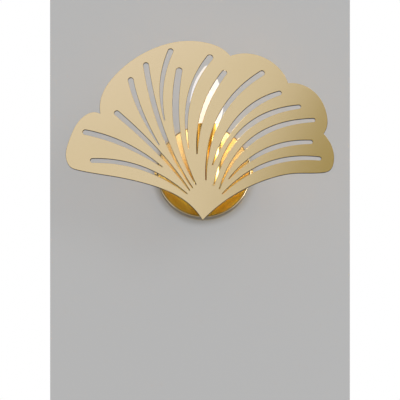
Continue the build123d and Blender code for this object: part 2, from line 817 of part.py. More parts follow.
with BuildPart() as bulb_mount:
    with BuildSketch(side_of_lamp):
        with BuildLine():
            Polyline(
                (0, glass_bottom),
                (flare_radius, glass_bottom),
                (flare_radius, glass_bottom + flare_height),
                (mount_radius, glass_bottom + flare_height + flare_taper),
                (mount_radius, glass_bottom + mount_height),
                (0, glass_bottom + mount_height),
                close=True,
            )
        make_face()
    revolve(axis=lamp_axis)
keep(bulb_mount.part, "bulb_mount")

with BuildPart() as filament_wires:
    with BuildSketch(level(glass_bottom + mount_height)):
        Circle(filament_wire_radius)
    extrude(amount=filament_top - glass_bottom - mount_height + filament_wire_radius)
    for z in (filament_bottom - filament_wire_radius, filament_top + filament_wire_radius):
        with Locations((lamp_x, lamp_y, z)):
            with PolarLocations(0, filament_count):
                Cylinder(
                    filament_wire_radius,
                    filament_circle + filament_radius,
                    rotation=(0, 90, 0),
                    align=(Align.CENTER, Align.CENTER, Align.MIN),
                )
keep(filament_wires.part, "filament_wires")

with BuildPart() as bulb_filaments:
    with BuildSketch(level(filament_bottom)):
        with PolarLocations(filament_circle, filament_count):
            Circle(filament_radius)
    extrude(amount=filament_length)
keep(bulb_filaments.part, "bulb_filaments")

# ---------------------------------------------------------------- leads


def add_lead(points, radii, lead_size=lead_radius, bore=0):
    """Add a lead, or a tube if it has a bore, along straight runs joined by arcs."""
    with BuildLine() as route:
        FilletPolyline(*points, radius=radii)
    path = route.wires()[0]
    with BuildSketch(Plane(origin=path @ 0, z_dir=path % 0)) as section:
        Circle(lead_size)
        if bore:
            Circle(bore, mode=Mode.SUBTRACT)
    sweep(section.sketch, path=path)


def lamp_lead(side, terminal_side_x):
    """The last points of a lead of the lamp: through the grommet, up the stem and out to its terminal."""
    x = lamp_x + side * lead_offset
    return [
        (x, pole_y, grommet_z),
        (x, lamp_y, grommet_z),
        (x, lamp_y, fan_z),
        (terminal_side_x, lamp_y, fan_z + fan_rise),
        (terminal_side_x, lamp_y, leg_bottom),
    ]


with BuildPart() as live_lead:
    start = [
        (live_x, pole_y, insert_bottom),
        (live_x, pole_y, live_turn_z),
        (lamp_x - lead_offset, pole_y, live_turn_z - live_turn_drop),
    ]
    add_lead(start + lamp_lead(-1, lamp_x - terminal_x), [lead_bend] * 4 + [fan_bend] * 2)
keep(live_lead.part, "live_lead")

with BuildPart() as neutral_lead:
    start = [(neutral_x, pole_y, insert_bottom)]
    add_lead(start + lamp_lead(1, lamp_x + terminal_x), [lead_bend] * 2 + [fan_bend] * 2)
keep(neutral_lead.part, "neutral_lead")

with BuildPart() as earth_lead:
    earth_points = [
        (earth_x, pole_y, insert_bottom),
        (earth_x, pole_y, block_bottom - earth_drop),
        (earth_x, barrel_y, earth_z + barrel_rise + barrel_length + barrel_gap),
        (earth_x, barrel_y, earth_z + barrel_rise),
    ]
    add_lead(earth_points, [earth_bend] * 2)
keep(earth_lead.part, "earth_lead")

with BuildPart() as lead_sleeving:
    sleeving_points = [
        (lamp_x, canopy_inside_face + sleeving_tail, grommet_z),
        (lamp_x, lamp_y, grommet_z),
        (lamp_x, lamp_y, stem_bottom + sleeving_tuck),
    ]
    add_lead(sleeving_points, [lead_bend], sleeving_radius, sleeving_radius - sleeving_wall)
keep(lead_sleeving.part, "lead_sleeving")

with BuildPart() as lead_ends:
    with BuildSketch(Plane.XY.offset(insert_bottom)):
        with Locations(*[(x, pole_y) for x in pole_xs]):
            Circle(copper_radius)
    extrude(amount=copper_length)
    with BuildSketch(level(leg_bottom)):
        with Locations((-terminal_x, 0), (terminal_x, 0)):
            Circle(copper_radius)
    extrude(amount=copper_length)
keep(lead_ends.part, "lead_ends")
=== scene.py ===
import bmesh
import bpy
import numpy as np
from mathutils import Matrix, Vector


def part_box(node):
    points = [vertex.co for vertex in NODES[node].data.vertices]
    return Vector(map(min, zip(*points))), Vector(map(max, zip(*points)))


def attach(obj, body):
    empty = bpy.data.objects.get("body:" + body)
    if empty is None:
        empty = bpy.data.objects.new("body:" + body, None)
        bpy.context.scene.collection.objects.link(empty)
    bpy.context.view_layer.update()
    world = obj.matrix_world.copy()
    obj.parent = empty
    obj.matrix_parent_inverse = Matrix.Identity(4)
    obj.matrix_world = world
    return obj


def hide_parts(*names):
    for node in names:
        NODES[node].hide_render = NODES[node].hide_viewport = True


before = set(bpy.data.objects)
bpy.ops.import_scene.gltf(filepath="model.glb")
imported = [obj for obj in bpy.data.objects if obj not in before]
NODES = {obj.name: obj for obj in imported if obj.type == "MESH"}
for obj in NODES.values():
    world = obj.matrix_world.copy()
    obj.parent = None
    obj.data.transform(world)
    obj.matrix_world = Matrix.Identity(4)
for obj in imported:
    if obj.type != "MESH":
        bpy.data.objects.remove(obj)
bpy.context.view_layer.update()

bl_info = {
    "name": "Shell wall sconce",
    "version": (1, 0, 0),
    "blender": (4, 5, 0),
    "location": "3D View > Sidebar > Sconce",
    "description": "Dresses the shell wall sconce and lights it against a grey wall",
    "category": "Object",
}

MM = 0.001


# ---------------------------------------------------------------- small helpers


def linear(hex_colour):
    """An sRGB hex colour as linear red, green, blue and alpha."""
    srgb = np.array([int(hex_colour[i:i + 2], 16) for i in (0, 2, 4)]) / 255
    rgb = np.where(srgb <= 0.04045, srgb / 12.92, ((srgb + 0.055) / 1.055) ** 2.4)
    return (*map(float, rgb), 1.0)


def add(tree, kind, inputs=None, stops=(), **settings):
    """Add one node: settings are its own properties, inputs are values or sockets that feed it.

    A ramp takes its stops as pairs of place and hex colour.
    """
    made = tree.nodes.new("ShaderNode" + kind)
    for name, value in settings.items():
        setattr(made, name, value)
    for name, value in (inputs or {}).items():
        if isinstance(value, bpy.types.NodeSocket):
            tree.links.new(value, made.inputs[name])
        else:
            made.inputs[name].default_value = value
    for index, (position, tone) in enumerate(stops):
        elements = made.color_ramp.elements
        stop = elements[index] if index < 2 else elements.new(position)
        stop.position = position
        stop.color = linear(tone)
    return made


def begin(name):
    """A new material, its empty node tree and the object's own coordinates."""
    material = bpy.data.materials.new(name)
    material.use_nodes = True
    tree = material.node_tree
    tree.nodes.clear()
    return material, tree, add(tree, "TexCoord").outputs["Object"]


def seen_directly(tree):
    """A socket that is 1 for what the eye sees, be it straight, in a mirror or through glass."""
    path = add(tree, "LightPath").outputs
    seen = add(tree, "Math", {0: path["Is Camera Ray"], 1: path["Is Glossy Ray"]},
               operation="MAXIMUM").outputs[0]
    return add(tree, "Math", {0: seen, 1: path["Is Transmission Ray"]},
               operation="MAXIMUM").outputs[0]


def wear(node, material):
    """Put a finish on a piece of the frame."""
    NODES[node].material_slots[0].material = material


# ---------------------------------------------------------------- finishes


def satin_lacquer(name, tone, roughness):
    """Steel sheet, plated, satin blasted and lacquered: a soft even glow and no mirror image.

    Its tone drifts faintly at random. It is paler towards the upper left, as the photograph
    shows it; that the lacquer is thinner there is a guess. It is painted paler towards the
    upper left, where light falls on it.
    """
    material, tree, place = begin(name)
    # Tone drifts over 60 mm; the 0.12 mm blasting grit is drawn at 0.7 mm so that it shows
    drift = add(tree, "TexNoise", {"Vector": place, "Scale": 1 / (60 * MM),
                                   "Detail": 2.0}).outputs[0]
    grit = add(tree, "TexNoise", {"Vector": place, "Scale": 1 / (0.7 * MM),
                                  "Detail": 2.0}).outputs[0]
    # Painted light: it pales from 65 mm to 140 mm off the canopy's middle, towards the upper left,
    # and the drift adds up to 0.3
    upper_left = (-0.5, 0.0, 0.87)
    away = add(tree, "VectorMath", {0: place, 1: upper_left},
               operation="DOT_PRODUCT").outputs["Value"]
    painted_paling = add(tree, "MapRange", {"Value": away, "From Min": 65 * MM, "From Max": 140 * MM,
                                  "To Max": 0.8}).outputs[0]
    share = add(tree, "Math", {0: drift, 1: 0.3, 2: painted_paling}, operation="MULTIPLY_ADD").outputs[0]
    # The paler tone is painted light from the upper left; the random drift moves between the two
    # tones as well
    plain_tone = [level * 0.98 for level in tone] + [1]
    painted_pale_tone = [level * gain for level, gain in zip(tone, (1.06, 1.065, 1.16))] + [1]
    mixed = add(tree, "Mix", {"Factor": share, 6: plain_tone, 7: painted_pale_tone},
                data_type="RGBA").outputs[2]
    dull = add(tree, "MapRange", {"Value": grit, "To Min": roughness - 0.03,
                                  "To Max": roughness + 0.03}).outputs[0]
    bump = add(tree, "Bump", {"Height": grit, "Distance": 0.0012 * MM}).outputs[0]
    shader = add(tree, "BsdfPrincipled", {"Base Color": mixed, "Metallic": 1.0,
                                          "Roughness": dull, "Normal": bump})
    add(tree, "OutputMaterial", {"Surface": shader.outputs[0]})
    return material


def laser_cut_edge():
    """Laser-cut edge, plated over its oxide: dull dark bronze, finely striated face to face.

    It is dark where it faces down, partly its oxide and partly painted shade, and painted pale
    gold where it faces up, as a painted highlight. What faces up isn't seen there, and has the
    plate's own gold.
    """
    material, tree, place = begin("Laser-cut edge")
    # Striations 0.2 mm wide run through the sheet, so they are stretched off the wall; they are
    # drawn 0.4 mm wide so that they show
    stretched = add(tree, "Mapping", {"Vector": place, "Scale": (1.0, 0.08, 1.0)}).outputs[0]
    lines = add(tree, "TexNoise", {"Vector": stretched, "Scale": 1 / (0.4 * MM),
                                   "Detail": 2.0}).outputs[0]
    dark = add(tree, "ValToRGB", {"Fac": lines}, ((0.3, "171209"), (0.7, "2A2215"))).outputs[0]
    painted_highlight_tone = add(tree, "ValToRGB", {"Fac": lines}, ((0.3, "CDB88A"), (0.7, "E0CC9E"))).outputs[0]
    # Painted light: the edge is shaded where it faces down and given a painted highlight where it
    # faces up
    normal = add(tree, "NewGeometry").outputs["Normal"]
    facing = add(tree, "SeparateXYZ", {"Vector": normal}).outputs["Z"]
    up = add(tree, "MapRange", {"Value": facing, "From Min": 0.0, "From Max": 0.35}).outputs[0]
    tone = add(tree, "Mix", {"Factor": up, 6: dark, 7: painted_highlight_tone}, data_type="RGBA").outputs[2]
    dull = add(tree, "MapRange", {"Value": lines, "To Min": 0.38, "To Max": 0.55}).outputs[0]
    bump = add(tree, "Bump", {"Height": lines, "Distance": 0.01 * MM}).outputs[0]
    shader = add(tree, "BsdfPrincipled", {"Base Color": tone, "Metallic": 0.9,
                                          "Roughness": dull, "Normal": bump})
    add(tree, "OutputMaterial", {"Surface": shader.outputs[0]})
    return material


def pressed_canopy(roughness):
    """Deep-drawn sheet, polished and lacquered deep gold: a soft mirror with slow waves and haze.

    The tones are painted light and shade: paler in the upper half as the lit bulb's glow, brown on
    both sides of the drawn edge as shade, a painted highlight on the edge itself, and pale again
    by the wall. That the bulb's heat bleached it, and that the lacquer ran, are guesses.
    """
    radius, depth = 50 * MM, 18 * MM
    material, tree, place = begin("Polished gold plate")
    # Polishing haze drifts over 20 mm, and the drawn sheet waves over 30 mm
    haze = add(tree, "TexNoise", {"Vector": place, "Scale": 1 / (20 * MM),
                                  "Detail": 4.0}).outputs[0]
    wave = add(tree, "TexNoise", {"Vector": place, "Scale": 1 / (30 * MM),
                                  "Detail": 0.0}).outputs[0]
    deep = add(tree, "ValToRGB", {"Fac": haze}, ((0.3, "DDC24A"), (0.7, "E5CB58"))).outputs[0]
    pale = add(tree, "ValToRGB", {"Fac": haze}, ((0.3, "F6E1AA"), (0.7, "FAE9BC"))).outputs[0]
    part = add(tree, "SeparateXYZ", {"Vector": place}).outputs
    # Painted light: the upper half is painted paler, as the lit bulb's glow
    painted_bulb_glow = add(tree, "MapRange", {"Value": part["Z"], "From Min": -30 * MM,
                                      "From Max": 20 * MM}).outputs[0]
    front = add(tree, "Mix", {"Factor": painted_bulb_glow, 6: deep, 7: pale},
                data_type="RGBA").outputs[2]
    # The sheet is 1 mm thick, and its inside has the plating without the lacquer
    inside = add(tree, "MapRange", {"Value": part["Y"], "From Min": -17.7 * MM,
                                    "From Max": -17.3 * MM}).outputs[0]
    gold = add(tree, "Mix", {"Factor": inside, 6: front, 7: linear("DDC48C")},
               data_type="RGBA").outputs[2]
    # Distance from the middle in radii, which grows by another 0.2 down the side to the wall
    flat = add(tree, "VectorMath", {0: place, 1: (1 / radius, 0.0, 1 / radius)},
               operation="MULTIPLY").outputs[0]
    reach = add(tree, "VectorMath", {0: flat}, operation="LENGTH").outputs["Value"]
    side = add(tree, "MapRange", {"Value": part["Y"], "From Min": -depth,
                                  "From Max": 0.0}).outputs[0]
    path = add(tree, "Math", {0: side, 1: 0.2, 2: reach}, operation="MULTIPLY_ADD").outputs[0]
    along = add(tree, "MapRange", {"Value": path, "From Min": 0.96, "From Max": 1.2}).outputs[0]
    # Painted shade and highlight: dark brown on both sides of the drawn edge as shade, pale on the
    # edge itself as a painted highlight, brown down the side as painted shade, then the side's
    # pale gold by the wall
    edge = add(tree, "ValToRGB", {"Fac": along},
               ((0.06, "33230C"), (0.13, "D8C39A"), (0.17, "D8C39A"),
                (0.24, "64502C"), (0.6, "7A6539"), (0.9, "E3CC98"))).outputs[0]
    onto = add(tree, "MapRange", {"Value": path, "From Min": 0.963,
                                  "From Max": 0.972}).outputs[0]
    tone = add(tree, "Mix", {"Factor": onto, 6: gold, 7: edge}, data_type="RGBA").outputs[2]
    dull = add(tree, "MapRange", {"Value": haze, "To Min": roughness * 0.7,
                                  "To Max": roughness * 1.4}).outputs[0]
    bump = add(tree, "Bump", {"Height": wave, "Distance": 0.01 * MM}).outputs[0]
    shader = add(tree, "BsdfPrincipled", {"Base Color": tone, "Metallic": 1.0,
                                          "Roughness": dull, "Normal": bump})
    add(tree, "OutputMaterial", {"Surface": shader.outputs[0]})
    return material


def polished_gold(name, first, second, roughness):
    """Tube or spun cup, polished and gold plated: a mirror with slow ripples and faint haze."""
    material, tree, place = begin(name)
    # Haze drifts over 20 mm, and the ripples left by polishing are 12 mm apart
    haze = add(tree, "TexNoise", {"Vector": place, "Scale": 1 / (20 * MM),
                                  "Detail": 4.0}).outputs[0]
    wave = add(tree, "TexNoise", {"Vector": place, "Scale": 1 / (12 * MM),
                                  "Detail": 0.0}).outputs[0]
    tone = add(tree, "ValToRGB", {"Fac": haze}, ((0.3, first), (0.7, second))).outputs[0]
    dull = add(tree, "MapRange", {"Value": haze, "To Min": roughness * 0.7,
                                  "To Max": roughness * 1.4}).outputs[0]
    bump = add(tree, "Bump", {"Height": wave, "Distance": 0.004 * MM}).outputs[0]
    shader = add(tree, "BsdfPrincipled", {"Base Color": tone, "Metallic": 1.0,
                                          "Roughness": dull, "Normal": bump})
    add(tree, "OutputMaterial", {"Surface": shader.outputs[0]})
    return material


def plated_metal(name, first, second, roughness, grain, depth):
    """Small metal part, stamped, turned or drawn, then plated or left bright.

    It gives the eye a fine grain, of the given size and depth, over patches of two close tones.
    Real plating is finer than these grains, which are as coarse as they need to show.
    """
    material, tree, place = begin(name)
    patches = add(tree, "TexVoronoi", {"Vector": place, "Scale": 1 / (grain * 4)},
                  feature="SMOOTH_F1").outputs[0]
    fine = add(tree, "TexNoise", {"Vector": place, "Scale": 1 / grain,
                                  "Detail": 3.0}).outputs[0]
    tone = add(tree, "ValToRGB", {"Fac": patches}, ((0.1, first), (0.8, second))).outputs[0]
    dull = add(tree, "MapRange", {"Value": fine, "To Min": roughness - 0.07,
                                  "To Max": roughness + 0.07}).outputs[0]
    bump = add(tree, "Bump", {"Height": fine, "Distance": depth}).outputs[0]
    shader = add(tree, "BsdfPrincipled", {"Base Color": tone, "Metallic": 1.0,
                                          "Roughness": dull, "Normal": bump})
    add(tree, "OutputMaterial", {"Surface": shader.outputs[0]})
    return material


def moulded(name, first, second, roughness, grain, depth, **sockets):
    """Moulded plastic, rubber or glass: clouds of two close tones, a fine skin, a low soft gloss.

    The skin has the given grain and depth, and is as coarse as it needs to show. What else is
    given goes to the shader's own sockets.
    """
    material, tree, place = begin(name)
    cloud = add(tree, "TexNoise", {"Vector": place, "Scale": 1 / (grain * 12),
                                   "Detail": 2.0}).outputs[0]
    skin = add(tree, "TexNoise", {"Vector": place, "Scale": 1 / grain,
                                  "Detail": 2.0}).outputs[0]
    tone = add(tree, "ValToRGB", {"Fac": cloud}, ((0.3, first), (0.7, second))).outputs[0]
    dull = add(tree, "MapRange", {"Value": skin, "To Min": roughness - 0.06,
                                  "To Max": roughness + 0.06}).outputs[0]
    bump = add(tree, "Bump", {"Height": skin, "Distance": depth}).outputs[0]
    own = {key.replace("_", " "): value for key, value in sockets.items()}
    shader = add(tree, "BsdfPrincipled", {"Base Color": tone, "Roughness": dull,
                                          "Normal": bump, **own})
    add(tree, "OutputMaterial", {"Surface": shader.outputs[0]})
    return material


def striped_insulation(middle, radius):
    """Extruded PVC in two colours: a yellow stripe runs along each side of the green."""
    material, tree, place = begin("Green and yellow PVC insulation")
    across = add(tree, "SeparateXYZ", {"Vector": place}).outputs["X"]
    # The lead turns only up, down and off the wall, so its stripes lie far from its middle
    offset = add(tree, "Math", {0: across, 1: middle}, operation="SUBTRACT").outputs[0]
    side = add(tree, "Math", {0: offset}, operation="ABSOLUTE").outputs[0]
    share = add(tree, "Math", {0: side, 1: radius}, operation="DIVIDE").outputs[0]
    tone = add(tree, "ValToRGB", {"Fac": share}, ((0.5, "2F7D3B"), (0.56, "E3CB2B"))).outputs[0]
    skin = add(tree, "TexNoise", {"Vector": place, "Scale": 1 / (0.4 * MM)}).outputs[0]
    bump = add(tree, "Bump", {"Height": skin, "Distance": 0.008 * MM}).outputs[0]
    shader = add(tree, "BsdfPrincipled", {"Base Color": tone, "Roughness": 0.38,
                                          "Normal": bump})
    add(tree, "OutputMaterial", {"Surface": shader.outputs[0]})
    return material


def braided_sleeving():
    """Sleeving braided from glass fibre: white strands that cross on the slant, a silky rib."""
    material, tree, place = begin("Braided glass fibre")
    # Strands 0.7 mm apart are drawn 1.4 mm apart so that they show; at a scale of 1 a wave
    # repeats every 0.314 m
    spacing, slant = 1.4 * MM, 0.9
    ribs = []
    for turn in (slant, -slant):
        tilted = add(tree, "Mapping", {"Vector": place, "Rotation": (turn, 0.0, turn)}).outputs[0]
        wave = add(tree, "TexWave", {"Vector": tilted, "Scale": 0.314 / spacing},
                   bands_direction="Z")
        ribs.append(wave.outputs[1])
    weave = add(tree, "Math", {0: ribs[0], 1: ribs[1]}, operation="MAXIMUM").outputs[0]
    tone = add(tree, "ValToRGB", {"Fac": weave}, ((0.2, "CFC9BC"), (0.8, "F1EDE4"))).outputs[0]
    bump = add(tree, "Bump", {"Height": weave, "Distance": 0.12 * MM}).outputs[0]
    shader = add(tree, "BsdfPrincipled", {"Base Color": tone, "Roughness": 0.55,
                                          "Sheen Weight": 0.2, "Normal": bump})
    add(tree, "OutputMaterial", {"Surface": shader.outputs[0]})
    return material


def lit_opal_glass(glow, low, high):
    """Blown glass coated white inside, lit: a glossy skin over a white glow, painted creamier at
    its ends, where its glow falls off.

    The coating varies a little in patches of 1.5 mm between the heights low and high.
    """
    material, tree, place = begin("Opal coated glass")
    height = add(tree, "SeparateXYZ", {"Vector": place}).outputs["Z"]
    share = add(tree, "MapRange", {"Value": height, "From Min": low, "From Max": high}).outputs[0]
    # Painted shade: the glow is creamier towards the ends, where a lit bulb dims at its outline,
    # and white in the middle
    tone = add(tree, "ValToRGB", {"Fac": share},
               ((0.0, "F3ECE2"), (0.5, "F3F6FF"), (1.0, "F6F1E8"))).outputs[0]
    speckle = add(tree, "TexNoise", {"Vector": place, "Scale": 1 / (1.5 * MM),
                                     "Detail": 2.0}).outputs[0]
    light = add(tree, "MapRange", {"Value": speckle, "To Min": glow * 0.97,
                                   "To Max": glow * 1.03}).outputs[0]
    shader = add(tree, "BsdfPrincipled", {"Base Color": linear("7C7972"), "Roughness": 0.08,
                                          "IOR": 1.52, "Coat Weight": 0.3,
                                          "Emission Color": tone, "Emission Strength": light})
    add(tree, "OutputMaterial", {"Surface": shader.outputs[0]})
    return material


def clear_lamp_glass():
    """Pressed clear glass of the mount: see-through, with the slight cords of pressed glass."""
    material, tree, place = begin("Clear pressed glass")
    # Cords lie 3 mm apart
    cords = add(tree, "TexNoise", {"Vector": place, "Scale": 1 / (3 * MM),
                                   "Detail": 2.0}).outputs[0]
    dull = add(tree, "MapRange", {"Value": cords, "To Min": 0.0, "To Max": 0.08}).outputs[0]
    bump = add(tree, "Bump", {"Height": cords, "Distance": 0.05 * MM}).outputs[0]
    shader = add(tree, "BsdfPrincipled", {"Base Color": linear("F3F7F4"), "IOR": 1.52,
                                          "Transmission Weight": 1.0, "Roughness": dull,
                                          "Normal": bump})
    add(tree, "OutputMaterial", {"Surface": shader.outputs[0]})
    return material


def painted_wall(tone, evenness):
    """Wall in flat emulsion: grey with a roller's low stipple, seen from the room side only.

    A share of its grey is given to the eye and to mirrors as written; the rest takes light and
    shadow. Close to the canopy the even share fades, so that the contact shadow stays.
    """
    material, tree, place = begin("Flat emulsion paint")
    # Stipple 2 mm wide
    stipple = add(tree, "TexNoise", {"Vector": place, "Scale": 1 / (2 * MM),
                                     "Detail": 2.0}).outputs[0]
    bump = add(tree, "Bump", {"Height": stipple, "Distance": 0.02 * MM}).outputs[0]
    paint = add(tree, "BsdfDiffuse", {"Color": (*tone, 1.0), "Normal": bump}).outputs[0]
    off = add(tree, "VectorMath", {0: place}, operation="LENGTH").outputs["Value"]
    kept = add(tree, "MapRange", {"Value": off, "From Min": 49 * MM, "From Max": 59 * MM,
                                  "To Min": 0.0, "To Max": evenness},
               interpolation_type="SMOOTHSTEP").outputs[0]
    share = add(tree, "Math", {0: seen_directly(tree), 1: kept}, operation="MULTIPLY").outputs[0]
    even = add(tree, "Emission", {"Color": (*tone, 1.0), "Strength": 1.0}).outputs[0]
    lit = add(tree, "MixShader", {0: share, 1: paint, 2: even}).outputs[0]
    clear = add(tree, "BsdfTransparent").outputs[0]
    back = add(tree, "NewGeometry").outputs["Backfacing"]
    faced = add(tree, "MixShader", {0: back, 1: lit, 2: clear})
    add(tree, "OutputMaterial", {"Surface": faced.outputs[0]})
    return material


# ---------------------------------------------------------------- shapes


def mesh_piece(name, points, faces, material):
    """A mesh object at the origin with smooth faces, in metres."""
    mesh = bpy.data.meshes.new(name)
    mesh.from_pydata(points, [], faces)
    mesh.materials.append(material)
    mesh.polygons.foreach_set("use_smooth", np.ones(len(mesh.polygons), dtype=bool))
    mesh.update()
    piece = bpy.data.objects.new(name, mesh)
    bpy.context.scene.collection.objects.link(piece)
    return piece


def ring_faces(rows, columns):
    """Quads between neighbouring rows of a grid whose columns close on themselves."""
    row, column = np.meshgrid(np.arange(rows - 1), np.arange(columns), indexing="ij")
    beside = (column + 1) % columns
    quads = [row * columns + column, row * columns + beside,
             (row + 1) * columns + beside, (row + 1) * columns + column]
    return np.stack(quads, axis=-1).reshape(-1, 4)


def smooth_profile(points, samples):
    """Smooth curve through the points, with so many samples to each span.

    Each span is the cubic whose end slopes come from the points beside them: with a, b, c, d
    in a row, the slope at b is half of c - a, and at c half of d - b.
    """
    p = np.vstack([2 * points[0] - points[1], points, 2 * points[-1] - points[-2]])
    t = np.linspace(0, 1, samples, endpoint=False)[:, None, None]
    a, b, c, d = p[:-3], p[1:-2], p[2:-1], p[3:]
    spans = 0.5 * (2 * b + (c - a) * t + (2 * a - 5 * b + 4 * c - d) * t**2
                   + (3 * b - a - 3 * c + d) * t**3)
    return np.vstack([spans.transpose(1, 0, 2).reshape(-1, points.shape[1]), points[-1:]])


def close_up(piece):
    """Merge poles and seams, and turn the faces outwards."""
    work = bmesh.new()
    work.from_mesh(piece.data)
    bmesh.ops.remove_doubles(work, verts=work.verts, dist=0.0001 * MM)
    bmesh.ops.dissolve_degenerate(work, edges=work.edges, dist=0.00001 * MM)
    bmesh.ops.recalc_face_normals(work, faces=work.faces)
    work.to_mesh(piece.data)
    work.free()


def turned_piece(name, profile, centre, columns, material):
    """Surface of revolution: angle a and profile place (r, z) give centre + (r cos a, r sin a, z).

    The profile is a closed loop that touches the axis at its top; what meets there is merged.
    """
    angle = np.linspace(0, 2 * np.pi, columns, endpoint=False)
    r, z = profile[:, :1], profile[:, 1:]
    grid = np.stack([centre[0] + r * np.cos(angle), centre[1] + r * np.sin(angle),
                     z + 0 * angle], axis=-1)
    faces = ring_faces(len(profile), columns)
    piece = mesh_piece(name, grid.reshape(-1, 3).tolist(), faces.tolist(), material)
    close_up(piece)
    return piece


def threaded_rods(name, ends, axis, radius, pitch, depth, bore, material):
    """Screw thread: the radius falls by depth times a triangle wave of s / pitch - a / 2 pi.

    s runs along the rod and a round it. The thread runs out before each end, where the rod
    closes on its axis, or on a plain bore inside.
    """
    columns, rows_a_turn, runout_turns = 40, 8, 0.6
    angle = np.linspace(0, 2 * np.pi, columns, endpoint=False)
    u, v = [i for i in range(3) if i != axis]
    points, faces = [], []
    for start, end in ends:
        length = end[axis] - start[axis]
        along = np.linspace(0, 1, int(abs(length) / pitch * rows_a_turn) + 2)[:, None]
        travel = along * abs(length)
        wave = np.abs(((travel / pitch - angle / (2 * np.pi)) % 1) * 2 - 1)
        full = np.clip(np.minimum(travel, travel[::-1]) / (pitch * runout_turns), 0, 1)
        r = radius - depth * np.maximum(wave, 1 - full)
        inner = np.full((1, columns), bore)
        r = np.vstack([inner, r, inner] + ([inner] if bore else []))
        s = np.vstack([along[:1], along, along[-1:]] + ([along[:1]] if bore else []))
        grid = np.zeros((len(s), columns, 3))
        grid[..., axis] = start[axis] + s * length
        grid[..., u] = start[u] + r * np.cos(angle)
        grid[..., v] = start[v] + r * np.sin(angle)
        faces.append(ring_faces(len(s), columns) + sum(len(rod) for rod in points))
        points.append(grid.reshape(-1, 3))
    piece = mesh_piece(name, np.vstack(points).tolist(), np.vstack(faces).tolist(), material)
    close_up(piece)
    return piece


def eased_copy(node, name, material, radius, segments=2):
    """A merged copy of a node with its sharp edges slightly rounded, as tumbling leaves them."""
    source = NODES[node].data
    places = np.empty(len(source.vertices) * 3)
    source.vertices.foreach_get("co", places)
    corners = np.empty(len(source.loops), dtype=int)
    source.loops.foreach_get("vertex_index", corners)
    piece = mesh_piece(name, places.reshape(-1, 3).tolist(), corners.reshape(-1, 3).tolist(),
                       material)
    work = bmesh.new()
    work.from_mesh(piece.data)
    bmesh.ops.remove_doubles(work, verts=work.verts, dist=0.002 * MM)
    bmesh.ops.dissolve_limit(work, angle_limit=np.radians(1.0), verts=work.verts,
                             edges=work.edges)
    work.to_mesh(piece.data)
    work.free()
    easing = piece.modifiers.new("Eased edges", "BEVEL")
    easing.width = radius
    easing.segments = segments
    easing.limit_method = "ANGLE"
    easing.angle_limit = np.radians(40)
    easing.harden_normals = True
    return piece


def settle(piece, body, slot, *nodes):
    """The piece rides on its body and stands for its nodes, which it hides; the slot is not used.
    """
    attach(piece, body)
    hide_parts(*nodes)


# ---------------------------------------------------------------- wall, light and camera


def wall_panel(tone, evenness):
    """Wall panel just behind the canopy's rim: the flat ring between a circle and a rectangle.

    Both outlines have a point at each angle a. The way (sin a, cos a) meets the circle at its
    radius, and the rectangle at 1 / max(|sin a| / half width, |cos a| / half height).
    """
    half_width, half_height, opening, gap = 0.16, 0.32, 48 * MM, 0.02 * MM
    corner = np.arctan2(half_width, half_height)
    corners = [corner, np.pi - corner, np.pi + corner, 2 * np.pi - corner]
    angle = np.sort(np.append(np.linspace(0, 2 * np.pi, 124, endpoint=False), corners))
    way = np.stack([np.sin(angle), np.cos(angle)], axis=1)
    reach = 1 / np.maximum(np.abs(way[:, 0]) / half_width, np.abs(way[:, 1]) / half_height)
    outline = way * reach[:, None]
    # Its sides lean out, so that they look upright to the camera, which looks up at the wall
    widen, lean, shift = 1.005, 0.134, -4 * MM
    outline[:, 0] = outline[:, 0] * (widen + lean * outline[:, 1]) + shift
    both = np.vstack([way * opening, outline])
    points = np.stack([both[:, 0], np.full(len(both), gap), both[:, 1]], axis=1)
    faces = ring_faces(2, len(angle))
    wall = mesh_piece("wall", points.tolist(), faces.tolist(), painted_wall(tone, evenness))
    return wall


def studio_world(scene, ambient):
    """White to the eye, with soft light from all round at its own level."""
    world = bpy.data.worlds.new("Studio")
    scene.world = world
    world.use_nodes = True
    tree = world.node_tree
    tree.nodes.clear()
    white = (1.0, 1.0, 1.0, 1.0)
    soft = add(tree, "Background", {"Color": white, "Strength": ambient}).outputs[0]
    plain = add(tree, "Background", {"Color": white, "Strength": 1.0}).outputs[0]
    mixed = add(tree, "MixShader", {0: seen_directly(tree), 1: soft, 2: plain})
    add(tree, "OutputWorld", {"Surface": mixed.outputs[0]})


def hang_lamp(name, kind, power, location, turn=(0, 0, 0), **settings):
    """A lamp at its place, turned by degrees about x, y and z, with its other settings."""
    light = bpy.data.lights.new(name, kind)
    light.energy = power
    for key, value in settings.items():
        setattr(light, key, value)
    lamp = bpy.data.objects.new(name, light)
    lamp.location = location
    lamp.rotation_euler = np.radians(turn)
    bpy.context.scene.collection.objects.link(lamp)
    return lamp


def cloth_card(name, tone, corners):
    """A flat card of matt cloth that only shiny surfaces see."""
    cloth = bpy.data.materials.new("Cloth of the " + name)
    cloth.use_nodes = True
    surface = cloth.node_tree.nodes["Principled BSDF"].inputs
    surface["Base Color"].default_value = linear(tone)
    surface["Roughness"].default_value = 0.9
    card = mesh_piece(name, corners, [(0, 1, 2, 3)], cloth)
    for rays in ("camera", "diffuse", "transmission", "volume_scatter", "shadow"):
        setattr(card, "visible_" + rays, False)


def photo_camera(scene, focal_length):
    """The photograph's camera, low in front and looking up.

    Its place, tilt and lens were solved from the shell's outline and the canopy.
    """
    camera = bpy.data.cameras.new("Camera")
    camera.lens = focal_length
    camera.sensor_width = 36.0
    camera.clip_start = 10 * MM
    viewer = bpy.data.objects.new("Camera", camera)
    viewer.location = (-0.0040, -1.3506, -0.2782)
    viewer.rotation_euler = (np.radians(100.5), 0.0, 0.0)
    scene.collection.objects.link(viewer)
    scene.camera = viewer


# ---------------------------------------------------------------- what a user may change


